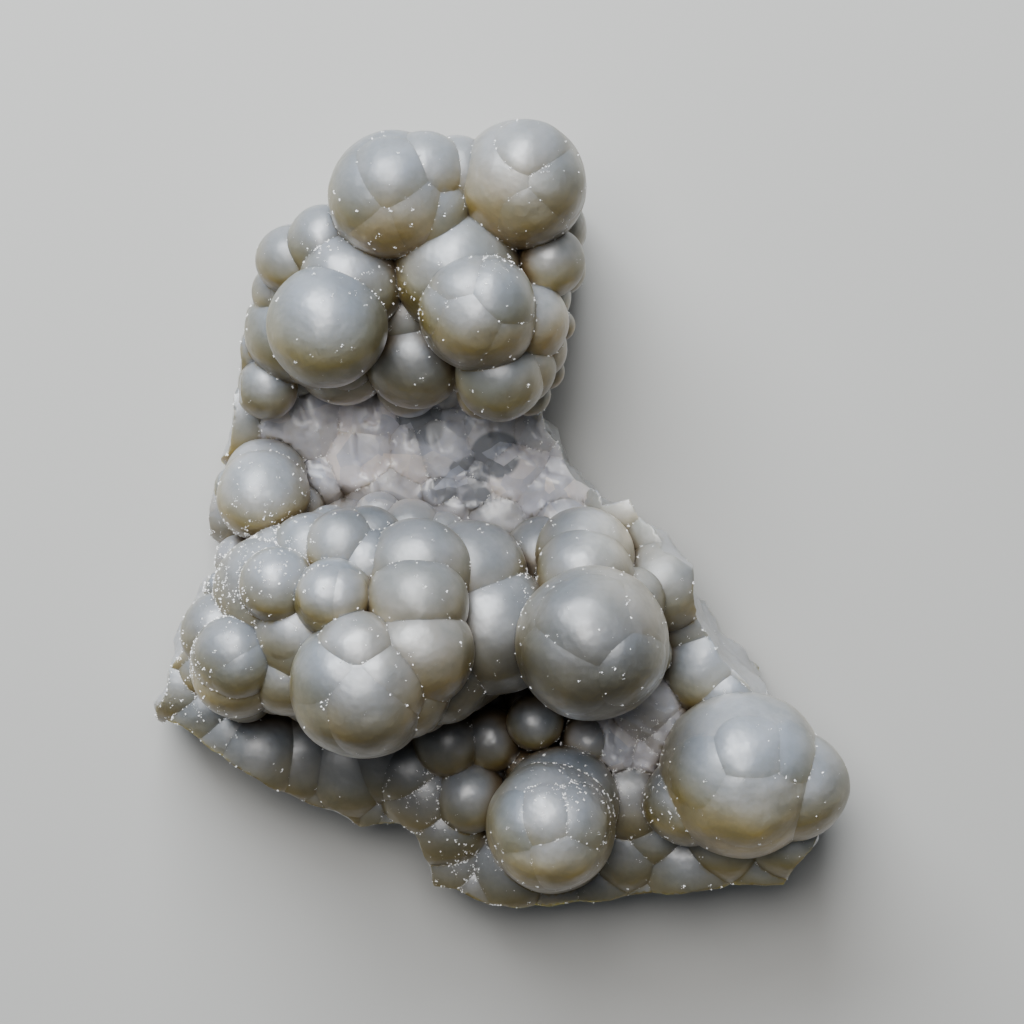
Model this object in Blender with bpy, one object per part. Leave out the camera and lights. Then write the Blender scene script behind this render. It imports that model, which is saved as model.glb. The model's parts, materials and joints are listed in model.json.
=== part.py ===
# Botryoidal chalcedony: a loose broken plate of grey-white chalcedony, lying on its back.
# Round lobes grow up from the plate (+Z). Its long side runs along Y and its short side along X.
import random
from math import cos, radians, sin, sqrt

import bmesh
import bpy
from mathutils import Matrix, Vector, noise

mm = 0.001

# Where the lobes were measured from: an eye above the stone, leaning towards its crown
viewTilt = radians(10.0)
viewDistance = 480.0
focusHeight = 20.0

# The broken plate, in mm
plateTop = 9.0
footHeight = 2.5
brimHeight = 15.0
plateUnder = -2.0
underInset = 1.5
slabInset = 1.2
breakTop = 60.0
breakSteps = (5.6, 8.8, 12.0, 15.5, 19.5, 24.0)
breakJag = 0.8

# Lobes that fill the gaps between the measured ones
fillerGap = 4.8
fillerJitter = 1.2
fillerSmallest = 3.6
fillerLargest = 5.2
fillerSunk = 0.7
fillerRimRoom = 0.4
fillerSlopeShare = 0.8
reachX = 46.0
reachY = 52.0
rowStep = 0.87
groundShoulder = 0.8
groundFall = 6.0
groundRise = 1.0
seed = 7

# Stalks that carry the balls
stalkFrom = 14.0
stalkFoot = 4.0
stalkTopWidth = 0.72
stalkFootWidth = 0.95
stalkSides = 24

# Lobes whose middle is higher than this stand clear of the break
breakReach = 19.0

# Skin
fineSteps = 4
plainSteps = 3
grain = 0.45
swellSize = 9.0
swell = 0.3
rippleSize = 3.4
ripple = 0.12
chipSize = 2.2
chip = 0.5
chipHeight = 3.0
triangles = 11200
cutDepth = 20.0
cutWidth = 200.0
stoneColour = (0.36, 0.36, 0.32, 1.0)
stoneRoughness = 0.4

# Every lobe: its middle (across, along) as seen, its height above the table and its radius, in mm
lobes = {
    "crown": [  # two large balls at the top, two in front of them and the lobes round them
        (-6.9, 30.2, 29.0, 8.0), (-23.1, 23.2, 32.4, 7.6), (-20.2, 28.5, 28.5, 6.5),
        (-27.6, 31.6, 24.0, 4.5), (-23.5, 33.6, 26.0, 4.8), (-12.2, 19.0, 24.5, 6.2),
        (-1.5, 16.8, 31.5, 5.6), (4.8, 31.2, 28.0, 4.4), (2.0, 23.8, 30.0, 5.2), (3.0, 20.5, 28.0, 4.0),
        (-30.5, 15.5, 18.0, 3.9), (-27.0, 22.5, 19.0, 6.5), (-21.0, 19.8, 20.5, 6.5),
        (-7.0, 42.2, 28.4, 5.0), (-15.4, 28.6, 22.0, 6.4), (-15.6, 35.6, 20.0, 6.6),
        (-7.0, 38.4, 20.0, 6.6), (1.4, 37.8, 20.0, 7.0), (4.8, 35.6, 19.5, 4.5), (-22.4, 28.6, 19.5, 6.0),
        (-2.6, 30.4, 22.0, 6.4), (-11.0, 42.2, 30.2, 5.5), (1.0, 18.0, 30.0, 4.6),
        (-10.2, 31.8, 14.5, 14.0), (-22.2, 27.0, 17.5, 9.8), (-2.8, 22.8, 17.0, 9.0),
        (-28.8, 27.5, 20.0, 3.8), (-31.2, 20.2, 15.0, 4.2), (-11.0, 38.0, 29.6, 6.2),
        (-15.8, 22.5, 22.0, 4.5), (-13.0, 24.5, 23.5, 5.8),
    ],
    "saddle": [  # low, shallow lobes across the waist, and one ball on its left
        (-31.2, 2.0, 17.0, 5.8), (-30.9, 4.0, 14.5, 5.2), (-33.2, 12.2, 5.8, 7.0), (-25.2, 12.2, 4.1, 10.0),
        (-18.2, 12.2, 5.3, 8.5), (-18.5, 7.7, 6.2, 8.2), (-15.8, 3.9, 4.8, 9.2), (-23.8, 5.1, 5.8, 7.8),
        (-12.6, 7.8, 6.7, 7.2), (-8.5, 9.2, 5.6, 8.5), (-8.2, 13.6, 7.4, 6.2), (-3.0, 10.8, 5.9, 8.0),
        (1.0, 11.3, 6.8, 6.2), (-4.1, 5.5, 7.9, 5.5), (-4.8, 3.3, 7.8, 5.8), (1.0, 6.3, 5.0, 9.0),
        (5.5, 8.6, 5.2, 7.8), (-2.8, 1.5, 7.9, 5.5), (4.6, 3.7, 4.6, 9.5), (-1.5, -0.7, 5.2, 8.8),
        (2.5, 10.6, 6.1, 7.5), (-31.2, 9.8, 6.2, 6.0), (-14.2, 13.2, 7.3, 5.5), (-10.9, 13.0, 6.1, 7.2),
        (-2.4, 7.8, 6.8, 6.5), (-8.5, 3.8, 7.2, 6.2), (-6.6, 5.7, 8.1, 5.2), (-7.0, 1.1, 7.2, 6.2),
    ],
    "leftCluster": [  # the tallest group
        (-21.1, -4.6, 25.5, 5.0), (-11.8, -7.6, 27.0, 6.8), (-5.2, -8.1, 21.5, 7.2),
        (-29.4, -9.1, 28.5, 4.8), (-11.8, -11.5, 31.0, 6.5), (-11.5, -17.5, 33.0, 6.8),
        (-34.4, -20.0, 24.4, 5.8), (-36.4, -15.1, 22.0, 5.1), (-26.9, -15.5, 27.5, 5.0),
        (-27.8, -20.1, 25.5, 5.4), (-19.0, -18.0, 35.2, 5.8), (-13.8, -22.2, 32.5, 6.2),
        (-2.2, -14.8, 23.5, 8.2), (-16.0, -13.0, 27.0, 6.4), (-15.4, -7.6, 21.0, 6.4),
        (-25.5, -15.2, 25.0, 7.5), (-29.0, -17.4, 19.5, 6.4), (-9.0, -20.5, 26.0, 6.2),
        (-31.2, -13.5, 21.0, 7.0), (-25.2, -8.0, 23.0, 5.2), (-20.2, -15.0, 17.5, 13.0),
        (-31.2, -16.2, 18.5, 8.2), (-8.0, -16.0, 18.0, 9.5), (-30.2, -10.0, 22.5, 7.2),
        (-18.1, -4.1, 23.3, 5.0), (-25.0, -5.1, 22.6, 5.2), (-18.0, -6.8, 25.9, 5.2),
    ],
    "middleBall": [  # the largest single ball, with what it stands on
        (9.4, -14.4, 22.0, 7.4), (10.2, -17.2, 22.0, 8.2),
    ],
    "rightShoulder": [  # above the middle ball
        (9.1, -7.9, 23.0, 6.1), (9.2, -5.5, 19.5, 6.2), (14.5, 0.4, 8.5, 7.5), (19.0, -9.2, 17.0, 5.8),
        (19.5, -3.6, 10.8, 7.5), (4.1, -6.0, 14.5, 5.5), (12.5, 1.0, 9.3, 5.5),
    ],
    "lowerRight": [  # the big ball at the lower right and its neighbours
        (22.2, -13.2, 10.9, 7.2), (24.0, -18.7, 11.7, 7.5), (29.0, -19.7, 13.0, 6.0),
        (35.0, -34.1, 20.6, 7.1), (22.2, -36.0, 20.0, 5.8), (21.8, -43.2, 9.5, 7.5),
        (31.5, -42.3, 10.0, 7.0), (21.2, -10.0, 11.9, 5.8), (26.8, -39.5, 11.6, 7.0),
        (25.2, -15.2, 11.6, 5.8), (27.0, -22.5, 13.6, 6.0), (17.5, -45.4, 8.1, 6.5),
        (34.5, -40.0, 14.0, 6.0),
    ],
    "lowerEdge": [  # one large ball and the lobes along the lower break
        (6.0, -36.8, 18.5, 7.5), (-5.2, -35.5, 14.6, 4.6), (-8.2, -28.8, 14.6, 4.4),
        (-2.8, -28.5, 13.4, 4.2), (3.0, -26.2, 16.0, 3.6), (9.5, -28.6, 15.0, 3.4),
        (12.5, -28.4, 11.8, 6.2), (16.8, -29.0, 11.8, 6.0), (16.8, -24.0, 13.2, 5.8),
        (15.0, -34.7, 11.4, 7.2), (14.5, -41.0, 9.6, 7.0), (-0.2, -43.8, 8.6, 7.0), (-7.0, -42.7, 8.3, 6.2),
        (-10.8, -35.0, 11.0, 6.0), (-20.8, -34.7, 7.2, 6.2), (-16.5, -35.8, 8.3, 5.2),
        (-31.5, -30.0, 10.4, 6.5), (-26.2, -30.3, 8.4, 6.8), (-40.8, -21.2, 8.7, 5.8),
        (-20.0, -31.2, 7.7, 7.8), (5.4, -37.4, 15.5, 7.4), (6.0, -45.8, 7.2, 7.0), (-12.0, -38.5, 9.2, 6.0),
        (-37.8, -24.5, 8.8, 6.0), (-12.8, -32.1, 11.8, 5.2), (4.9, -39.8, 13.0, 8.0),
        (19.0, -26.6, 13.4, 5.2), (17.5, -38.8, 10.2, 6.8), (-4.2, -45.4, 7.7, 6.5),
        (11.0, -44.9, 8.3, 6.5), (-8.2, -38.7, 10.9, 5.8), (-23.8, -33.8, 8.6, 5.2),
        (-34.8, -28.0, 9.4, 6.0), (-39.5, -16.2, 9.2, 5.8), (-16.0, -30.3, 9.2, 6.8),
    ],
}

# Balls with flatter domes on their skin. Each dome: its middle (across, along) from the ball's own,
# its half width and how proud it stands
domedBalls = [
    ((-14.8, 39.6, 29.0, 8.2), [
        (-0.4, 2.6, 5.0, 0.75), (-5.4, -0.6, 5.2, 0.6), (3.8, -3.6, 5.0, 0.52), (-1.6, -5.6, 4.8, 0.45),
    ]),
    ((1.2, 41.0, 29.0, 8.2), [
        (1.6, 5.0, 4.8, 0.75), (5.4, -0.6, 4.8, 0.68), (2.0, -5.2, 4.6, 0.45),
    ]),
    ((-4.2, 25.0, 33.5, 7.5), [
        (-2.4, 4.4, 4.6, 0.68), (3.7, 2.8, 5.0, 1.05), (-1.4, -2.6, 5.4, 0.6), (3.4, -4.4, 4.6, 0.52),
        (-5.4, 0.2, 4.0, 0.45),
    ]),
    ((-18.8, -21.8, 33.0, 9.1), [
        (-6.0, 2.0, 5.4, 0.6), (1.4, -4.0, 6.2, 1.05), (5.4, 1.2, 5.2, 0.9), (-4.6, -4.6, 5.6, 0.45),
    ]),
    ((-22.2, -10.8, 31.0, 5.1), [
        (-1.8, 0.8, 3.5, 0.45), (2.0, 0.4, 3.3, 0.45),
    ]),
    ((-34.5, -18.2, 26.0, 5.6), [
        (-1.2, 2.4, 4.2, 0.45), (1.6, -2.4, 4.2, 0.45),
    ]),
    ((10.0, -16.4, 32.0, 9.7), [
        (-0.6, 3.6, 6.6, 0.6), (5.2, -3.0, 5.4, 0.75), (-4.4, -3.8, 6.2, 0.45), (6.4, 3.6, 4.8, 0.45),
    ]),
    ((28.8, -32.8, 20.0, 10.5), [
        (0.4, 4.0, 4.8, 0.6), (-6.4, 1.0, 4.6, 0.52), (6.4, 3.6, 4.2, 0.45), (0.6, -4.0, 6.0, 0.45),
    ]),
    ((4.9, -39.2, 22.0, 8.2), [
        (-5.2, 0.4, 4.6, 0.6), (-0.8, 1.6, 4.4, 0.68), (4.2, 1.6, 4.6, 0.68), (1.2, -4.2, 5.0, 0.68),
        (-3.8, -4.8, 4.4, 0.45),
    ]),
]

# Outline of the plate as seen (across, along) and how far its foot spreads beyond its brim
outline = [
    (-43.6, -22.2, 0.6), (-43.1, -20.2, 0.6), (-41.7, -17.9, 0.6), (-41.6, -15.4, 0.6), (-40.2, -12.5, 0.6),
    (-38.8, -9.8, 0.8), (-38.5, -7.2, 1.4), (-37.4, -2.9, 1.2), (-37.2, 0.0, 0.3), (-37.2, 2.8, 0.3),
    (-36.2, 6.2, 0.3), (-35.5, 9.2, 0.4), (-34.4, 12.8, 0.4), (-33.5, 16.5, 0.3), (-33.1, 22.1, 0.3),
    (-32.5, 26.5, 0.3), (-31.6, 30.5, 0.5), (-27.8, 33.8, 0.5), (-21.5, 36.2, 0.5), (-16.4, 39.6, 0.5),
    (-10.0, 41.6, 0.5), (-1.5, 42.8, 0.5), (5.0, 42.0, 0.5), (7.6, 38.4, 0.5), (8.7, 33.4, 0.3),
    (8.8, 30.2, 0.3), (7.6, 26.5, 0.3), (6.8, 22.8, 0.3), (6.6, 20.2, 0.3), (5.4, 17.5, -0.8),
    (4.3, 14.6, -1.0), (3.6, 12.5, -0.8), (4.5, 10.4, -0.8), (5.8, 8.5, -0.6), (7.2, 6.4, -0.6),
    (8.5, 4.1, -1.0), (10.4, 2.3, -1.8), (11.8, 1.3, -2.2), (14.1, 1.1, -2.4), (16.6, -0.9, -2.4),
    (19.5, -3.4, -2.4), (22.2, -6.4, -2.2), (22.6, -8.5, -1.4), (23.1, -10.6, 0.6), (25.6, -12.9, 1.2),
    (26.1, -14.9, 1.4), (28.8, -17.0, 1.2), (31.0, -19.8, 0.6), (32.2, -22.8, -1.2), (35.0, -26.5, -1.6),
    (38.4, -29.5, -1.4), (40.2, -32.9, -0.8), (39.8, -35.9, -0.3), (37.6, -40.0, -0.4), (35.2, -43.5, -0.5),
    (33.3, -45.8, -0.6), (24.8, -46.7, -0.6), (16.0, -48.1, -0.6), (8.5, -48.9, -0.6), (1.0, -49.9, -0.8),
    (-3.4, -49.8, -0.8), (-6.5, -48.3, -0.8), (-9.5, -47.1, -0.8), (-9.9, -44.0, -0.8),
    (-12.2, -40.8, -0.8), (-14.5, -39.4, -0.8), (-18.4, -39.8, -0.8), (-22.1, -37.8, -0.8),
    (-25.5, -36.1, -0.8), (-30.2, -34.3, -0.8), (-34.0, -32.5, -0.8), (-37.5, -29.2, -0.8),
    (-42.0, -27.1, -0.5), (-43.4, -24.4, 0.4),
]


def clearScene():
    for thing in list(bpy.data.objects):
        bpy.data.objects.remove(thing, do_unlink=True)


def placed(across, along, height):
    """Where a point seen at (across, along) lies at that height, and how much smaller it is than it looks."""
    rise = height - focusHeight
    y = (along * (viewDistance - rise * cos(viewTilt)) + viewDistance * rise * sin(viewTilt)) / (
        viewDistance * cos(viewTilt) + along * sin(viewTilt)
    )
    shrink = (viewDistance - y * sin(viewTilt) - rise * cos(viewTilt)) / viewDistance
    return Vector((across * shrink, y, height)), shrink


def plateRings():
    """Corners of the plate's foot and of its brim."""
    seen = []
    for across, along, lean in outline:
        spot, _ = placed(across, along, footHeight if lean > 0 else brimHeight)
        seen.append((spot.xy, lean))
    foot = []
    brim = []
    for i, (spot, lean) in enumerate(seen):
        along = seen[(i + 1) % len(seen)][0] - seen[i - 1][0]
        inward = Vector((along.y, -along.x)).normalized()
        moved = spot + inward * abs(lean)
        foot.append(spot if lean > 0 else moved)
        brim.append(moved if lean > 0 else spot)
    return foot, brim


def shrunk(ring, inset):
    """A ring moved inwards."""
    made = []
    for i, spot in enumerate(ring):
        along = ring[(i + 1) % len(ring)] - ring[i - 1]
        made.append(spot + Vector((along.y, -along.x)).normalized() * inset)
    return made


def isInside(spot, ring):
    found = False
    for i, a in enumerate(ring):
        b = ring[i - 1]
        if (a.y > spot.y) != (b.y > spot.y):
            if spot.x < (b.x - a.x) * (spot.y - a.y) / (b.y - a.y) + a.x:
                found = not found
    return found


def rimRoom(spot, ring):
    """How far a spot lies from the ring."""
    least = reachY
    for i, a in enumerate(ring):
        side = ring[i - 1] - a
        share = max(0.0, min(1.0, (spot - a).dot(side) / side.length_squared))
        least = min(least, (spot - a - side * share).length)
    return least


def groundLevel(spot, tall):
    """Height of the mass between the balls."""
    level = plateTop
    for middle, radius in tall:
        far = (spot - middle.xy).length
        fall = groundFall * max(0.0, far - groundShoulder * radius)
        level = max(level, middle.z - groundShoulder * radius - fall)
    return level


def placedBall(across, along, height, radius):
    middle, shrink = placed(across, along, height)
    return middle, radius * shrink


def measuredBalls():
    made = [placedBall(*ball) for group in lobes.values() for ball in group]
    return made + [placedBall(*ball) for ball, _ in domedBalls]


def measuredDomes():
    """Each dome is the cap of a smaller ball set into the skin of a larger one."""
    tilt = Matrix.Rotation(-viewTilt, 3, "X")
    made = []
    for ball, domes in domedBalls:
        middle, size = placedBall(*ball)
        for across, along, half, proud in domes:
            out = sqrt(size * size - across * across - along * along)
            tall = size + proud - sqrt(size * size - half * half)
            radius = (half * half + tall * tall) / (2 * tall)
            offset = tilt @ Vector((across, along, out)) * ((size + proud - radius) / size)
            made.append((middle + offset, radius))
    return made


def fillerLobes(tall, brim):
    chance = random.Random(seed)
    made = []
    row = 0
    y = -reachY
    while y < reachY:
        x = -reachX + (row % 2) * fillerGap / 2
        while x < reachX:
            aside = chance.uniform(-fillerJitter, fillerJitter)
            off = Vector((aside, chance.uniform(-fillerJitter, fillerJitter)))
            spot = Vector((x, y)) + off
            radius = chance.uniform(fillerSmallest, fillerLargest)
            if isInside(spot, brim):
                level = groundLevel(spot, tall)
                if level > plateTop + groundRise:
                    radius = min(fillerSlopeShare * radius, fillerRimRoom + rimRoom(spot, brim))
                made.append((Vector((spot.x, spot.y, level - fillerSunk * radius)), radius))
            x += fillerGap
        y += fillerGap * rowStep
        row += 1
    return made


def addLobe(body, middle, radius):
    steps = fineSteps if radius > fillerLargest else plainSteps
    bmesh.ops.create_icosphere(
        body, subdivisions=steps, radius=radius * mm, matrix=Matrix.Translation(middle * mm)
    )


def addStalk(body, middle, radius):
    length = middle.z - stalkFoot
    bmesh.ops.create_cone(
        body,
        cap_ends=True,
        segments=stalkSides,
        radius1=radius * stalkFootWidth * mm,
        radius2=radius * stalkTopWidth * mm,
        depth=length * mm,
        matrix=Matrix.Translation(Vector((middle.x, middle.y, stalkFoot + length / 2)) * mm),
    )


def addBlock(body, rings):
    """A closed block through rings of corners, each with its height."""
    loops = []
    for ring, height in rings:
        loops.append([body.verts.new((spot.x * mm, spot.y * mm, height * mm)) for spot in ring])
    faces = [body.faces.new(loops[0]), body.faces.new(loops[-1])]
    for low, high in zip(loops, loops[1:]):
        for i in range(len(low)):
            faces.append(body.faces.new((low[i - 1], low[i], high[i], high[i - 1])))
    bmesh.ops.recalc_face_normals(body, faces=faces)


def meshObject(name, body):
    mesh = bpy.data.meshes.new(name)
    body.to_mesh(mesh)
    body.free()
    thing = bpy.data.objects.new(name, mesh)
    bpy.context.collection.objects.link(thing)
    return thing


def settle(thing):
    """Replaces the mesh by the one its modifiers make."""
    bpy.context.view_layer.update()
    shown = thing.evaluated_get(bpy.context.evaluated_depsgraph_get())
    mesh = bpy.data.meshes.new_from_object(shown)
    thing.modifiers.clear()
    thing.data = mesh
    return thing


def fuse(thing):
    """Joins the overlapping lobes into one skin."""
    skin = thing.modifiers.new("fused skin", "REMESH")
    skin.mode = "VOXEL"
    skin.voxel_size = grain * mm
    return settle(thing)


def combine(thing, other, how):
    cut = thing.modifiers.new(how.lower(), "BOOLEAN")
    cut.operation = how
    cut.solver = "EXACT"
    cut.object = other
    other.hide_render = True
    other.display_type = "WIRE"
    settle(thing)
    bpy.data.objects.remove(other, do_unlink=True)
    return thing


def roughen(thing):
    """Balls that aren't quite round, and a chipped lower edge."""
    noise.seed_set(seed)
    for vertex in thing.data.vertices:
        spot = vertex.co / mm
        push = noise.noise_vector(spot / swellSize) * swell + noise.noise_vector(spot / rippleSize) * ripple
        if spot.z < chipHeight:
            push += noise.noise_vector(spot / chipSize) * chip
        vertex.co = (spot + push) * mm


def centre(thing):
    """The middle of the box in plan goes to the origin."""
    xs = [vertex.co.x for vertex in thing.data.vertices]
    ys = [vertex.co.y for vertex in thing.data.vertices]
    shift = Vector(((min(xs) + max(xs)) / 2, (min(ys) + max(ys)) / 2, 0.0))
    for vertex in thing.data.vertices:
        vertex.co -= shift


def brokenRings(foot, brim):
    """The face that the break left: rings from the foot up, each a little off the last."""
    chance = random.Random(seed)
    rings = [(shrunk(foot, underInset), plateUnder), (foot, footHeight)]
    for height in breakSteps:
        share = min(1.0, (height - footHeight) / (brimHeight - footHeight))
        ring = []
        for low, high in zip(foot, brim):
            jag = Vector((chance.uniform(-breakJag, breakJag), chance.uniform(-breakJag, breakJag)))
            ring.append(low.lerp(high, share) + jag)
        rings.append((ring, height))
    rings.append((brim, breakTop))
    return rings


def chalcedonyStone():
    stone = bpy.data.materials.new("chalcedony stone")
    stone.use_nodes = True
    skin = stone.node_tree.nodes["Principled BSDF"]
    skin.inputs["Base Color"].default_value = stoneColour
    skin.inputs["Roughness"].default_value = stoneRoughness
    return stone


def build():
    clearScene()
    foot, brim = plateRings()
    balls = measuredBalls()
    tall = [(middle, radius) for middle, radius in balls if middle.z > stalkFrom]
    everyLobe = balls + measuredDomes() + fillerLobes(tall, brim)

    plate = bmesh.new()
    addBlock(plate, [(shrunk(foot, slabInset), plateUnder), (shrunk(brim, slabInset), plateTop)])
    for middle, radius in tall:
        addStalk(plate, middle, radius)
    for middle, radius in everyLobe:
        if middle.z < breakReach:
            addLobe(plate, middle, radius)
    stone = fuse(meshObject("chalcedony", plate))

    edge = bmesh.new()
    addBlock(edge, brokenRings(foot, brim))
    combine(stone, meshObject("broken edge", edge), "INTERSECT")

    whole = bmesh.new()
    whole.from_mesh(stone.data)
    for middle, radius in everyLobe:
        if middle.z >= breakReach:
            addLobe(whole, middle, radius)
    whole.to_mesh(stone.data)
    whole.free()
    fuse(stone)
    roughen(stone)

    fewer = stone.modifiers.new("plain faces", "DECIMATE")
    stone.data.calc_loop_triangles()
    fewer.ratio = triangles / len(stone.data.loop_triangles)
    settle(stone)

    under = bmesh.new()
    size = Matrix.Diagonal((cutWidth * mm, cutWidth * mm, cutDepth * mm, 1.0))
    bmesh.ops.create_cube(under, size=1.0, matrix=Matrix.Translation((0.0, 0.0, -cutDepth / 2 * mm)) @ size)
    combine(stone, meshObject("flat back", under), "DIFFERENCE")
    centre(stone)

    for face in stone.data.polygons:
        face.use_smooth = True
    stone.data.materials.clear()
    stone.data.materials.append(chalcedonyStone())


build()
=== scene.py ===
import json
import math
import random

import bmesh
import bpy
import numpy as np
from mathutils import Matrix, Vector, noise
from mathutils.bvhtree import BVHTree
from mathutils.kdtree import KDTree

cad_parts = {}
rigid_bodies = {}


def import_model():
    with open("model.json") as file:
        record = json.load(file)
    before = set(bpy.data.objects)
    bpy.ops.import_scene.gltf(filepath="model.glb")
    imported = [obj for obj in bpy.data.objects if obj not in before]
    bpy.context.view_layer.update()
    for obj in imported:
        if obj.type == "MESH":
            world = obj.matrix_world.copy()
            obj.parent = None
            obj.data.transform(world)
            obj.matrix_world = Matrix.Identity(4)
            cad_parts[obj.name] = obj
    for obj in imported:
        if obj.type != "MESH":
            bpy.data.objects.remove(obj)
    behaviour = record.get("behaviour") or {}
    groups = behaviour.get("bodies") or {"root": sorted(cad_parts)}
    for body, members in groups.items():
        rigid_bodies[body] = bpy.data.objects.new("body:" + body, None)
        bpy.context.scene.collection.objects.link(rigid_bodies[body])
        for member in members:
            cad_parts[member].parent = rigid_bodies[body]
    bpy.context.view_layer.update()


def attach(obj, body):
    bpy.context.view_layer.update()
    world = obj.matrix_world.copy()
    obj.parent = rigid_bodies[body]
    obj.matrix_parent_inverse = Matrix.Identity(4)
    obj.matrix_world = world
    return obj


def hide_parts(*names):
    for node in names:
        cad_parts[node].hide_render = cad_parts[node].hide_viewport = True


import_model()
mm = 0.001

# What the photograph was taken from
photo = {
    "tilt": math.radians(10.0),  # leans towards the crown
    "distance": 480.0,
    "focusHeight": 20.0,
    "lens": 135.0,
    "sensor": 36.0,
    "clip": (0.01, 10.0),
}

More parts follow.
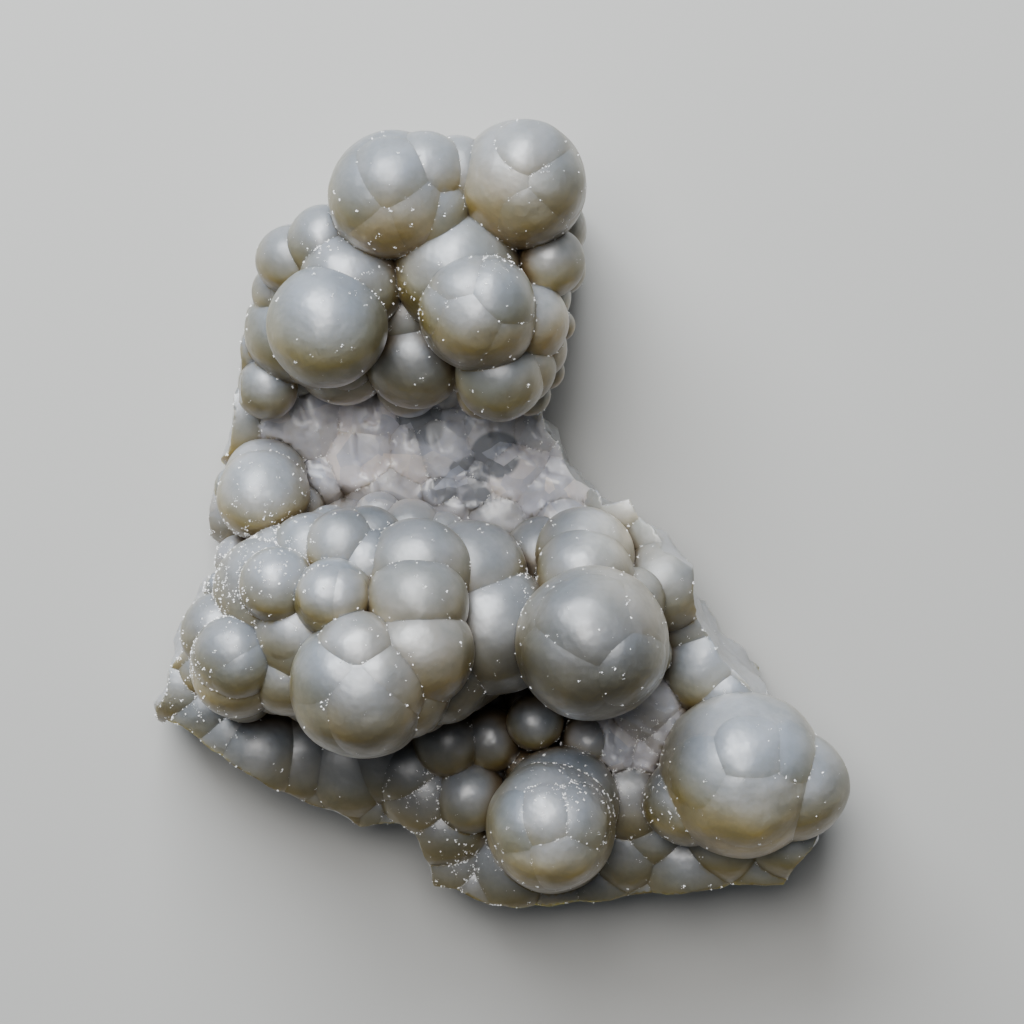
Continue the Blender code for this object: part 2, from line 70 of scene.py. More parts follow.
# Every lobe: its middle (across, along) as seen, its height above the table and its radius, in mm
lobes = {
    "crown": [  # two large balls at the top, two in front of them and the lobes round them
        (-6.9, 30.2, 29.0, 8.0), (-23.1, 23.2, 32.4, 7.6), (-20.2, 28.5, 28.5, 6.5),
        (-27.6, 31.6, 24.0, 4.5), (-23.5, 33.6, 26.0, 4.8), (-12.2, 19.0, 24.5, 6.2),
        (-1.5, 16.8, 31.5, 5.6), (4.8, 31.2, 28.0, 4.4), (2.0, 23.8, 30.0, 5.2), (3.0, 20.5, 28.0, 4.0),
        (-30.5, 15.5, 18.0, 3.9), (-27.0, 22.5, 19.0, 6.5), (-21.0, 19.8, 20.5, 6.5),
        (-7.0, 42.2, 28.4, 5.0), (-15.4, 28.6, 22.0, 6.4), (-15.6, 35.6, 20.0, 6.6),
        (-7.0, 38.4, 20.0, 6.6), (1.4, 37.8, 20.0, 7.0), (4.8, 35.6, 19.5, 4.5), (-22.4, 28.6, 19.5, 6.0),
        (-2.6, 30.4, 22.0, 6.4), (-11.0, 42.2, 30.2, 5.5), (1.0, 18.0, 30.0, 4.6),
        (-10.2, 31.8, 14.5, 14.0), (-22.2, 27.0, 17.5, 9.8), (-2.8, 22.8, 17.0, 9.0),
        (-28.8, 27.5, 20.0, 3.8), (-31.2, 20.2, 15.0, 4.2), (-11.0, 38.0, 29.6, 6.2),
        (-15.8, 22.5, 22.0, 4.5), (-13.0, 24.5, 23.5, 5.8),
    ],
    "saddle": [  # low, shallow lobes across the waist, and one ball on its left
        (-31.2, 2.0, 17.0, 5.8), (-30.9, 4.0, 14.5, 5.2), (-33.2, 12.2, 5.8, 7.0), (-25.2, 12.2, 4.1, 10.0),
        (-18.2, 12.2, 5.3, 8.5), (-18.5, 7.7, 6.2, 8.2), (-15.8, 3.9, 4.8, 9.2), (-23.8, 5.1, 5.8, 7.8),
        (-12.6, 7.8, 6.7, 7.2), (-8.5, 9.2, 5.6, 8.5), (-8.2, 13.6, 7.4, 6.2), (-3.0, 10.8, 5.9, 8.0),
        (1.0, 11.3, 6.8, 6.2), (-4.1, 5.5, 7.9, 5.5), (-4.8, 3.3, 7.8, 5.8), (1.0, 6.3, 5.0, 9.0),
        (5.5, 8.6, 5.2, 7.8), (-2.8, 1.5, 7.9, 5.5), (4.6, 3.7, 4.6, 9.5), (-1.5, -0.7, 5.2, 8.8),
        (2.5, 10.6, 6.1, 7.5), (-31.2, 9.8, 6.2, 6.0), (-14.2, 13.2, 7.3, 5.5), (-10.9, 13.0, 6.1, 7.2),
        (-2.4, 7.8, 6.8, 6.5), (-8.5, 3.8, 7.2, 6.2), (-6.6, 5.7, 8.1, 5.2), (-7.0, 1.1, 7.2, 6.2),
    ],
    "leftCluster": [  # the tallest group
        (-21.1, -4.6, 25.5, 5.0), (-11.8, -7.6, 27.0, 6.8), (-5.2, -8.1, 21.5, 7.2),
        (-29.4, -9.1, 28.5, 4.8), (-11.8, -11.5, 31.0, 6.5), (-11.5, -17.5, 33.0, 6.8),
        (-34.4, -20.0, 24.4, 5.8), (-36.4, -15.1, 22.0, 5.1), (-26.9, -15.5, 27.5, 5.0),
        (-27.8, -20.1, 25.5, 5.4), (-19.0, -18.0, 35.2, 5.8), (-13.8, -22.2, 32.5, 6.2),
        (-2.2, -14.8, 23.5, 8.2), (-16.0, -13.0, 27.0, 6.4), (-15.4, -7.6, 21.0, 6.4),
        (-25.5, -15.2, 25.0, 7.5), (-29.0, -17.4, 19.5, 6.4), (-9.0, -20.5, 26.0, 6.2),
        (-31.2, -13.5, 21.0, 7.0), (-25.2, -8.0, 23.0, 5.2), (-20.2, -15.0, 17.5, 13.0),
        (-31.2, -16.2, 18.5, 8.2), (-8.0, -16.0, 18.0, 9.5), (-30.2, -10.0, 22.5, 7.2),
        (-18.1, -4.1, 23.3, 5.0), (-25.0, -5.1, 22.6, 5.2), (-18.0, -6.8, 25.9, 5.2),
    ],
    "middleBall": [  # the largest single ball, with what it stands on
        (9.4, -14.4, 22.0, 7.4), (10.2, -17.2, 22.0, 8.2),
    ],
    "rightShoulder": [  # above the middle ball
        (9.1, -7.9, 23.0, 6.1), (9.2, -5.5, 19.5, 6.2), (14.5, 0.4, 8.5, 7.5), (19.0, -9.2, 17.0, 5.8),
        (19.5, -3.6, 10.8, 7.5), (4.1, -6.0, 14.5, 5.5), (12.5, 1.0, 9.3, 5.5),
    ],
    "lowerRight": [  # the big ball at the lower right and its neighbours
        (22.2, -13.2, 10.9, 7.2), (24.0, -18.7, 11.7, 7.5), (29.0, -19.7, 13.0, 6.0),
        (35.0, -34.1, 20.6, 7.1), (22.2, -36.0, 20.0, 5.8), (21.8, -43.2, 9.5, 7.5),
        (31.5, -42.3, 10.0, 7.0), (21.2, -10.0, 11.9, 5.8), (26.8, -39.5, 11.6, 7.0),
        (25.2, -15.2, 11.6, 5.8), (27.0, -22.5, 13.6, 6.0), (17.5, -45.4, 8.1, 6.5),
        (34.5, -40.0, 14.0, 6.0),
    ],
    "lowerEdge": [  # one large ball and the lobes along the lower break
        (6.0, -36.8, 18.5, 7.5), (-5.2, -35.5, 14.6, 4.6), (-8.2, -28.8, 14.6, 4.4),
        (-2.8, -28.5, 13.4, 4.2), (3.0, -26.2, 16.0, 3.6), (9.5, -28.6, 15.0, 3.4),
        (12.5, -28.4, 11.8, 6.2), (16.8, -29.0, 11.8, 6.0), (16.8, -24.0, 13.2, 5.8),
        (15.0, -34.7, 11.4, 7.2), (14.5, -41.0, 9.6, 7.0), (-0.2, -43.8, 8.6, 7.0), (-7.0, -42.7, 8.3, 6.2),
        (-10.8, -35.0, 11.0, 6.0), (-20.8, -34.7, 7.2, 6.2), (-16.5, -35.8, 8.3, 5.2),
        (-31.5, -30.0, 10.4, 6.5), (-26.2, -30.3, 8.4, 6.8), (-40.8, -21.2, 8.7, 5.8),
        (-20.0, -31.2, 7.7, 7.8), (5.4, -37.4, 15.5, 7.4), (6.0, -45.8, 7.2, 7.0), (-12.0, -38.5, 9.2, 6.0),
        (-37.8, -24.5, 8.8, 6.0), (-12.8, -32.1, 11.8, 5.2), (4.9, -39.8, 13.0, 8.0),
        (19.0, -26.6, 13.4, 5.2), (17.5, -38.8, 10.2, 6.8), (-4.2, -45.4, 7.7, 6.5),
        (11.0, -44.9, 8.3, 6.5), (-8.2, -38.7, 10.9, 5.8), (-23.8, -33.8, 8.6, 5.2),
        (-34.8, -28.0, 9.4, 6.0), (-39.5, -16.2, 9.2, 5.8), (-16.0, -30.3, 9.2, 6.8),
    ],
}

# Balls with flatter domes on their skin. Each dome: its middle (across, along) from the ball's own,
# its half width and how proud it stands
domedBalls = [
    ((-14.8, 39.6, 29.0, 8.2), [
        (-0.4, 2.6, 5.0, 0.75), (-5.4, -0.6, 5.2, 0.6), (3.8, -3.6, 5.0, 0.52), (-1.6, -5.6, 4.8, 0.45),
    ]),
    ((1.2, 41.0, 29.0, 8.2), [
        (1.6, 5.0, 4.8, 0.75), (5.4, -0.6, 4.8, 0.68), (2.0, -5.2, 4.6, 0.45),
    ]),
    ((-4.2, 25.0, 33.5, 7.5), [
        (-2.4, 4.4, 4.6, 0.68), (3.7, 2.8, 5.0, 1.05), (-1.4, -2.6, 5.4, 0.6), (3.4, -4.4, 4.6, 0.52),
        (-5.4, 0.2, 4.0, 0.45),
    ]),
    ((-18.8, -21.8, 33.0, 9.1), [
        (-6.0, 2.0, 5.4, 0.6), (1.4, -4.0, 6.2, 1.05), (5.4, 1.2, 5.2, 0.9), (-4.6, -4.6, 5.6, 0.45),
    ]),
    ((-22.2, -10.8, 31.0, 5.1), [
        (-1.8, 0.8, 3.5, 0.45), (2.0, 0.4, 3.3, 0.45),
    ]),
    ((-34.5, -18.2, 26.0, 5.6), [
        (-1.2, 2.4, 4.2, 0.45), (1.6, -2.4, 4.2, 0.45),
    ]),
    ((10.0, -16.4, 32.0, 9.7), [
        (-0.6, 3.6, 6.6, 0.6), (5.2, -3.0, 5.4, 0.75), (-4.4, -3.8, 6.2, 0.45), (6.4, 3.6, 4.8, 0.45),
    ]),
    ((28.8, -32.8, 20.0, 10.5), [
        (0.4, 4.0, 4.8, 0.6), (-6.4, 1.0, 4.6, 0.52), (6.4, 3.6, 4.2, 0.45), (0.6, -4.0, 6.0, 0.45),
    ]),
    ((4.9, -39.2, 22.0, 8.2), [
        (-5.2, 0.4, 4.6, 0.6), (-0.8, 1.6, 4.4, 0.68), (4.2, 1.6, 4.6, 0.68), (1.2, -4.2, 5.0, 0.68),
        (-3.8, -4.8, 4.4, 0.45),
    ]),
]

# Outline of the plate as seen (across, along) and how far its foot spreads beyond its brim
outline = [
    (-43.6, -22.2, 0.6), (-43.1, -20.2, 0.6), (-41.7, -17.9, 0.6), (-41.6, -15.4, 0.6), (-40.2, -12.5, 0.6),
    (-38.8, -9.8, 0.8), (-38.5, -7.2, 1.4), (-37.4, -2.9, 1.2), (-37.2, 0.0, 0.3), (-37.2, 2.8, 0.3),
    (-36.2, 6.2, 0.3), (-35.5, 9.2, 0.4), (-34.4, 12.8, 0.4), (-33.5, 16.5, 0.3), (-33.1, 22.1, 0.3),
    (-32.5, 26.5, 0.3), (-31.6, 30.5, 0.5), (-27.8, 33.8, 0.5), (-21.5, 36.2, 0.5), (-16.4, 39.6, 0.5),
    (-10.0, 41.6, 0.5), (-1.5, 42.8, 0.5), (5.0, 42.0, 0.5), (7.6, 38.4, 0.5), (8.7, 33.4, 0.3),
    (8.8, 30.2, 0.3), (7.6, 26.5, 0.3), (6.8, 22.8, 0.3), (6.6, 20.2, 0.3), (5.4, 17.5, -0.8),
    (4.3, 14.6, -1.0), (3.6, 12.5, -0.8), (4.5, 10.4, -0.8), (5.8, 8.5, -0.6), (7.2, 6.4, -0.6),
    (8.5, 4.1, -1.0), (10.4, 2.3, -1.8), (11.8, 1.3, -2.2), (14.1, 1.1, -2.4), (16.6, -0.9, -2.4),
    (19.5, -3.4, -2.4), (22.2, -6.4, -2.2), (22.6, -8.5, -1.4), (23.1, -10.6, 0.6), (25.6, -12.9, 1.2),
    (26.1, -14.9, 1.4), (28.8, -17.0, 1.2), (31.0, -19.8, 0.6), (32.2, -22.8, -1.2), (35.0, -26.5, -1.6),
    (38.4, -29.5, -1.4), (40.2, -32.9, -0.8), (39.8, -35.9, -0.3), (37.6, -40.0, -0.4), (35.2, -43.5, -0.5),
    (33.3, -45.8, -0.6), (24.8, -46.7, -0.6), (16.0, -48.1, -0.6), (8.5, -48.9, -0.6), (1.0, -49.9, -0.8),
    (-3.4, -49.8, -0.8), (-6.5, -48.3, -0.8), (-9.5, -47.1, -0.8), (-9.9, -44.0, -0.8),
    (-12.2, -40.8, -0.8), (-14.5, -39.4, -0.8), (-18.4, -39.8, -0.8), (-22.1, -37.8, -0.8),
    (-25.5, -36.1, -0.8), (-30.2, -34.3, -0.8), (-34.0, -32.5, -0.8), (-37.5, -29.2, -0.8),
    (-42.0, -27.1, -0.5), (-43.4, -24.4, 0.4),
]

plate = {
    "top": 9.0,
    "under": -2.0,  # down to here before the back is cut flat
    "cutter": (200.0, 200.0, 20.0),
    "foot": 2.5,
    "brim": 15.0,
    "underInset": 1.5,
    "slabInset": 1.2,
    "breakTop": 60.0,
    "breakSteps": (5.6, 8.8, 12.0, 15.5, 19.5, 24.0),
    "breakJag": 0.8,
    "breakReach": 19.0,  # lobes with a higher middle stand clear of the break
    "breakCuts": 3,
    "breakRough": 30.0,  # the break is rough up to this height
    "hollows": (4.0, 0.5),  # size and depth of the shell-like hollows of the break
    "grit": (1.3, 0.16),
    "tallFrom": 14.0,  # balls with a higher middle stand on stalks
    "stalkFoot": 4.0,
    "stalkShape": (0.95, 0.72),
    "stalkSides": 32,
    "fineRadius": 5.4,  # rounder mesh from this radius up
    "shallowTop": 13.0,  # and for low lobes that just show
    "shallowRadius": 4.5,
    "seed": 7,
}


# Where a point seen at (across, along) lies at that height, and how much smaller it is than it looks
def placed(across, along, height):
    rise = height - photo["focusHeight"]
    tiltCos, tiltSin, distance = math.cos(photo["tilt"]), math.sin(photo["tilt"]), photo["distance"]
    rest = along * (distance - rise * tiltCos) + distance * rise * tiltSin
    y = rest / (distance * tiltCos + along * tiltSin)
    shrink = (distance - y * tiltSin - rise * tiltCos) / distance
    return Vector((across * shrink, y, height)), shrink


def placedBall(across, along, height, radius):
    middle, shrink = placed(across, along, height)
    return middle, radius * shrink


# The wider ring makes the outline as seen: the foot where it spreads, else the brim
def plateRings():
    seen = []
    for across, along, lean in outline:
        spot, _ = placed(across, along, plate["foot"] if lean > 0 else plate["brim"])
        seen.append((spot.xy, lean))
    foot, brim = [], []
    for i, (spot, lean) in enumerate(seen):
        along = seen[(i + 1) % len(seen)][0] - seen[i - 1][0]
        moved = spot + Vector((along.y, -along.x)).normalized() * abs(lean)
        foot.append(spot if lean > 0 else moved)
        brim.append(moved if lean > 0 else spot)
    return foot, brim


def shrunk(ring, inset):
    made = []
    for i, spot in enumerate(ring):
        along = ring[(i + 1) % len(ring)] - ring[i - 1]
        made.append(spot + Vector((along.y, -along.x)).normalized() * inset)
    return made


def brokenRings(foot, brim):
    chance = random.Random(plate["seed"])
    rings = [(shrunk(foot, plate["underInset"]), plate["under"]), (foot, plate["foot"])]
    jag = plate["breakJag"]
    for height in plate["breakSteps"]:
        share = min(1.0, (height - plate["foot"]) / (plate["brim"] - plate["foot"]))
        ring = []
        for low, high in zip(foot, brim):
            aside = Vector((chance.uniform(-jag, jag), chance.uniform(-jag, jag)))
            ring.append(low.lerp(high, share) + aside)
        rings.append((ring, height))
    rings.append((brim, plate["breakTop"]))
    return rings


filler = {  # the lobes between and under the measured ones
    "gap": 4.8,
    "jitter": 1.2,
    "smallest": 3.6,
    "largest": 5.2,
    "sunk": 0.7,
    "rimRoom": 0.4,
    "slopeFrom": 1.0,
    "slopeShare": 0.8,
    "reachX": 46.0,
    "reachY": 52.0,
    "rowStep": 0.87,
    "shoulder": 0.8,
    "fall": 6.0,
}


def isInside(spot, ring):
    found = False
    for i, a in enumerate(ring):
        b = ring[i - 1]
        if (a.y > spot.y) != (b.y > spot.y) and spot.x < (b.x - a.x) * (spot.y - a.y) / (b.y - a.y) + a.x:
            found = not found
    return found


def rimRoom(spot, ring):
    least = filler["reachY"]
    for i, a in enumerate(ring):
        side = ring[i - 1] - a
        share = max(0.0, min(1.0, (spot - a).dot(side) / side.length_squared))
        least = min(least, (spot - a - side * share).length)
    return least


# Stone rises under the tall balls and falls off steeply beyond their shoulders
def groundLevel(spot, tall):
    level = plate["top"]
    for middle, radius in tall:
        far = (spot - middle.xy).length
        shoulder = filler["shoulder"] * radius
        level = max(level, middle.z - shoulder - filler["fall"] * max(0.0, far - shoulder))
    return level


def measuredLobes():
    balls = [placedBall(*ball) for group in lobes.values() for ball in group]
    tilt = Matrix.Rotation(-photo["tilt"], 3, "X")
    domes = []
    for ball, caps in domedBalls:
        middle, size = placedBall(*ball)
        balls.append((middle, size))
        for across, along, half, proud in caps:
            # a dome is part of a flatter ball that shows over the dome's width
            out = math.sqrt(size * size - across * across - along * along)
            tall = size + proud - math.sqrt(size * size - half * half)
            radius = (half * half + tall * tall) / (2 * tall)
            offset = tilt @ Vector((across, along, out)) * ((size + proud - radius) / size)
            domes.append((middle + offset, radius))
    return balls, domes


def fillerLobes(tall, brim):
    chance = random.Random(plate["seed"])
    jitter, made, row = filler["jitter"], [], 0
    y = -filler["reachY"]
    while y < filler["reachY"]:
        x = -filler["reachX"] + (row % 2) * filler["gap"] / 2
        while x < filler["reachX"]:
            aside = chance.uniform(-jitter, jitter)
            spot = Vector((x + aside, y + chance.uniform(-jitter, jitter)))
            radius = chance.uniform(filler["smallest"], filler["largest"])
            if isInside(spot, brim):
                level = groundLevel(spot, tall)
                if level > plate["top"] + filler["slopeFrom"]:
                    radius = min(filler["slopeShare"] * radius, filler["rimRoom"] + rimRoom(spot, brim))
                made.append((Vector((spot.x, spot.y, level - filler["sunk"] * radius)), radius))
            x += filler["gap"]
        y += filler["gap"] * filler["rowStep"]
        row += 1
    return made


def meshObject(name, body, home=None):
    mesh = bpy.data.meshes.new(name)
    body.to_mesh(mesh)
    body.free()
    thing = bpy.data.objects.new(name, mesh)
    (home or bpy.context.scene.collection).objects.link(thing)
    return thing


def lobeObject(middle, radius, group):
    body = bmesh.new()
    shallow = middle.z < plate["shallowTop"] and radius > plate["shallowRadius"]
    steps = 5 if shallow or radius > plate["fineRadius"] else 4
    axis = Vector((middle.z, 1.0, 2.0)).normalized()
    turn = Matrix.Rotation(middle.x + middle.y, 4, axis)  # so that no two meshes line up
    home = Matrix.Translation(middle)
    bmesh.ops.create_icosphere(body, subdivisions=steps, radius=radius, matrix=home @ turn)
    return meshObject("lobe", body, group)


def stalkObject(middle, radius, group):
    body = bmesh.new()
    foot, (wide, narrow) = plate["stalkFoot"], plate["stalkShape"]
    length = middle.z - foot
    bmesh.ops.create_cone(
        body, cap_ends=True, segments=plate["stalkSides"], radius1=radius * wide, radius2=radius * narrow,
        depth=length, matrix=Matrix.Translation(Vector((middle.x, middle.y, foot + length / 2))),
    )
    return meshObject("stalk", body, group)


# A closed block from rings at rising heights
def blockMesh(rings):
    body = bmesh.new()
    loops = [[body.verts.new((spot.x, spot.y, height)) for spot in ring] for ring, height in rings]
    body.faces.new(loops[0])
    body.faces.new(loops[-1])
    for low, high in zip(loops, loops[1:]):
        for i in range(len(low)):
            body.faces.new((low[i - 1], low[i], high[i], high[i - 1]))
    bmesh.ops.recalc_face_normals(body, faces=body.faces[:])
    return body


def settle(thing):
    bpy.context.view_layer.update()
    shown = thing.evaluated_get(bpy.context.evaluated_depsgraph_get())
    mesh = bpy.data.meshes.new_from_object(shown)
    thing.modifiers.clear()
    thing.data = mesh


def combine(thing, other, how):
    cut = thing.modifiers.new(how.lower(), "BOOLEAN")
    cut.operation = how
    cut.solver = "MANIFOLD"
    if isinstance(other, bpy.types.Collection):
        cut.operand_type = "COLLECTION"
        cut.collection = other
        spent = list(other.objects)
    else:
        cut.object = other
        spent = [other]
    settle(thing)
    for each in spent:
        bpy.data.objects.remove(each, do_unlink=True)


def helperCollection(name):
    home = bpy.data.collections.new(name)
    bpy.context.scene.collection.children.link(home)
    return home


def breakBlock(foot, brim):
    body = blockMesh(brokenRings(foot, brim))
    walls = [e for e in body.edges if all(len(f.verts) == 4 for f in e.link_faces)]
    bmesh.ops.subdivide_edges(body, edges=walls, cuts=plate["breakCuts"], use_grid_fill=True)
    (wide, deep), (fine, small) = plate["hollows"], plate["grit"]
    for v in body.verts:
        if v.co.z < plate["breakRough"]:
            v.co += noise.noise_vector(v.co / wide) * deep + noise.noise_vector(v.co / fine) * small
    bmesh.ops.triangulate(body, faces=body.faces[:])
    return meshObject("break", body)


def stoneMesh():
    noise.seed_set(plate["seed"])  # else every run has other noise
    foot, brim = plateRings()
    balls, domes = measuredLobes()
    tall = [(middle, radius) for middle, radius in balls if middle.z > plate["tallFrom"]]
    every = balls + domes + fillerLobes(tall, brim)
    inset = plate["slabInset"]
    slab = blockMesh([(shrunk(foot, inset), plate["under"]), (shrunk(brim, inset), plate["top"])])
    bmesh.ops.triangulate(slab, faces=slab.faces[:])
    stone = meshObject("stone", slab)
    brokenLobes = helperCollection("broken lobes")
    wholeLobes = helperCollection("whole lobes")
    for middle, radius in tall:
        stalkObject(middle, radius, brokenLobes)
    for middle, radius in every:
        lobeObject(middle, radius, brokenLobes if middle.z < plate["breakReach"] else wholeLobes)
    combine(stone, brokenLobes, "UNION")
    print("stone: lobes of the plate joined", len(stone.data.polygons))
    combine(stone, breakBlock(foot, brim), "INTERSECT")
    combine(stone, wholeLobes, "UNION")
    print("stone: all lobes joined", len(stone.data.polygons))
    under = bmesh.new()
    wide, long, thick = plate["cutter"]
    low = Matrix.Translation((0.0, 0.0, -thick / 2))
    bmesh.ops.create_cube(under, size=1.0, matrix=low @ Matrix.Diagonal((wide, long, thick, 1.0)))
    combine(stone, meshObject("flat back", under), "DIFFERENCE")
    for spent in (brokenLobes, wholeLobes):
        bpy.data.collections.remove(spent)
    return stone, every


def vertexArray(mesh):
    spots = np.empty(len(mesh.vertices) * 3, np.float32)
    mesh.vertices.foreach_get("co", spots)
    return spots.reshape(-1, 3)


def faceMiddles(mesh):
    spots = np.empty(len(mesh.polygons) * 3, np.float32)
    mesh.polygons.foreach_get("center", spots)
    return spots.reshape(-1, 3)


# The lobe that each spot lies on, and how far off that lobe's skin the spot is
def lobeGaps(spots, every):
    middles = np.array([middle[:] for middle, _ in every], np.float32)
    radii = np.array([radius for _, radius in every], np.float32)
    own = np.empty(len(spots), int)
    gaps = np.empty(len(spots), np.float32)
    for start in range(0, len(spots), 20000):  # in parts, to spare memory
        part = spots[start : start + 20000]
        gap = np.linalg.norm(part[:, None] - middles[None], axis=2) - radii
        own[start : start + len(part)] = gap.argmin(1)
        gaps[start : start + len(part)] = gap.min(1)
    return own, gaps


def addAttribute(mesh, name, values):
    made = mesh.attributes.new(name, "FLOAT", "POINT")
    made.data.foreach_set("value", np.asarray(values, np.float32))


def smoothed(mesh, values, times):
    ends = np.empty(len(mesh.edges) * 2, np.int32)
    mesh.edges.foreach_get("vertices", ends)
    a, b = ends[0::2], ends[1::2]
    count = 1 + np.bincount(a, minlength=len(values)) + np.bincount(b, minlength=len(values))
    for _ in range(times):
        near = np.bincount(a, values[b], len(values)) + np.bincount(b, values[a], len(values))
        values = (values + near) / count
    return values


goldenAngle = 2.399963

skin = {
    "swellSize": 9.0,
    "swell": 0.3,
    "rippleSize": 3.4,
    "ripple": 0.12,
    "chipSize": 2.2,  # chips along the foot
    "chip": 0.5,
    "chipHeight": 3.0,
    "facetSize": 3.2,  # tilted facets of the low lobes
    "facetSlope": 0.26,
    "facetMix": 5.3,  # so that neighbouring facets lean apart
    "facetFrom": 0.02,
    "creaseAngle": math.radians(4.0),
    "brokenAngle": 0.6,
    "fullCrease": 0.6,
    "creaseWidth": 0.3,
    "openReach": 22.0,
    "openRays": 20,
    "openSpin": 6.283,  # about a full turn
    "openLift": 0.06,
    "openPasses": 4,
    "openSeed": 3,
    "flankShade": (0.13, 0.44, 0.5),  # painted shade, darker and browner as the skin turns from the light: at least, from the slope, and from the side away from the light
    "brokenFrom": 0.04,  # this far off every lobe's skin the stone is broken
    "brokenFade": 0.1,
    "brokenFace": 0.12,
    "lowFrom": 22.0,
    "lowFade": 5.0,
    "lowHeight": 12.0,  # height that the patches of low and of high lobes are placed at
    "highHeight": 24.0,
    "seed": 11,
    "palePatches": [  # across, along and reach of the paler, pinkish low lobes, whose paleness is partly painted light against the crown's shade
        (-20.0, 8.0, 9.0), (-8.0, 7.0, 10.0), (3.0, 4.0, 7.5), (15.5, -27.5, 5.5), (-38.0, -4.0, 4.0),
    ],
    "milkAndShadePatches": [  # across, along, reach and strength of paler, milky stone (above 1) and darker stone (below 1); part of the darkening is painted shade in the valleys between the balls, part of the lightening painted light
        (-31.2, 2.0, 8.0, 1.45), (29.5, -33.0, 12.0, 1.5), (5.0, -40.0, 10.0, 1.35),
        (-7.0, 42.0, 11.0, 1.2), (15.0, -6.0, 8.0, 1.35), (24.0, -18.0, 8.0, 1.45),
        (-24.0, -9.0, 7.0, 1.2), (-23.8, 23.0, 8.0, 1.2), (10.2, -16.4, 10.5, 0.52),
        (-18.8, -22.0, 8.0, 0.85), (-20.0, -33.0, 9.0, 0.75), (-4.5, -27.5, 7.0, 0.5),
        (-12.5, 18.5, 5.0, 0.75), (-0.5, -19.5, 5.0, 0.42), (-1.5, -13.5, 4.0, 0.78),
        (10.0, -24.0, 5.0, 0.6), (1.8, -17.3, 3.0, 0.7), (-18.5, -29.5, 6.0, 0.72),
        (-41.0, -22.0, 4.0, 1.5), (-20.0, -36.5, 4.5, 1.35), (13.5, 0.0, 5.0, 1.7),
        (31.0, -44.0, 6.5, 1.6), (8.0, 27.0, 5.0, 1.3), (-12.0, 19.5, 4.5, 0.75),
    ],
    "warmPatches": [  # of beige stone
        (1.0, 39.0, 8.0), (-11.5, -11.0, 7.5), (16.0, -5.0, 7.0), (-14.0, 36.0, 5.0), (6.0, 21.0, 6.0),
        (-8.0, -22.0, 5.0),
    ],
    "clearPatches": [  # and of the clear, darker facets
        (-11.5, 11.2, 3.4), (-2.0, 7.4, 3.2), (-5.4, 5.0, 2.6), (-8.4, 2.6, 2.4), (-4.6, 1.6, 2.2),
    ],
}


# How much of the sky each spot sees, from 0 to 1, where far neighbours hide less than near ones
def openness(mesh):
    reach, rays = skin["openReach"], skin["openRays"]
    tree = BVHTree.FromPolygons([v.co for v in mesh.vertices], [p.vertices for p in mesh.polygons])
    chance = random.Random(skin["openSeed"])
    fan = []
    for i in range(rays):
        high = math.sqrt((i + 0.5) / rays)
        turn = i * goldenAngle
        flat = math.sqrt(1 - high * high)
        fan.append(Vector((flat * math.cos(turn), flat * math.sin(turn), high)))
    values = []
    for v in mesh.vertices:
        up = v.normal
        side = up.orthogonal().normalized()
        side.rotate(Matrix.Rotation(chance.uniform(0, skin["openSpin"]), 3, up))
        other = up.cross(side)
        start = v.co + up * skin["openLift"]
        free = 0.0
        for ray in fan:
            hit = tree.ray_cast(start, side * ray.x + other * ray.y + up * ray.z, reach)
            free += 1.0 if hit[3] is None else min(1.0, hit[3] / reach)
        values.append(free / rays)
    return smoothed(mesh, np.array(values), skin["openPasses"])


def patchMask(spots, patches, height):
    mask = np.zeros(len(spots))
    for across, along, reach in patches:
        middle, _ = placed(across, along, height)
        far = np.linalg.norm(spots[:, :2] - np.array(middle.xy), axis=1)
        mask = np.maximum(mask, np.exp(-((far / reach) ** 4)))
    return mask


def facetLift(spot):
    cell = spot / skin["facetSize"]
    home = noise.voronoi(cell)[1][0]
    lean = noise.cell_vector(home * skin["facetMix"])
    return (cell - home).dot(lean) * skin["facetSize"] * skin["facetSlope"]


def vertexNormals(mesh):
    normals = np.empty(len(mesh.vertices) * 3, np.float32)
    mesh.vertices.foreach_get("normal", normals)
    return normals.reshape(-1, 3)


def markPatches(mesh, every):
    spots = vertexArray(mesh)
    own, gaps = lobeGaps(spots, every)
    tints = np.random.RandomState(skin["seed"]).uniform(0, 1, len(every))
    broken = np.clip((np.abs(gaps) - skin["brokenFrom"]) / skin["brokenFade"], 0, 1)
    isLow = np.clip((skin["lowFrom"] - spots[:, 2]) / skin["lowFade"], 0, 1)
    middles = np.array([middle[:] for middle, _ in every])
    pale = patchMask(middles, skin["palePatches"], skin["lowHeight"])[own] * isLow
    # milky and darker stone in patches, partly painted shade in the valleys and painted light where the
    # stone lies in shade
    milkAndShade = np.ones(len(spots))
    for across, along, reach, strength in skin["milkAndShadePatches"]:
        milkAndShade *= 1 + (strength - 1) * patchMask(spots, [(across, along, reach)], skin["highHeight"])
    addAttribute(mesh, "broken", broken)
    addAttribute(mesh, "tint", tints[own])
    addAttribute(mesh, "pale", pale)
    addAttribute(mesh, "clear", patchMask(spots, skin["clearPatches"], skin["lowHeight"]) * isLow)
    addAttribute(mesh, "beige", patchMask(spots, skin["warmPatches"], skin["highHeight"]))
    addAttribute(mesh, "milkAndShade", milkAndShade)
    return broken, pale


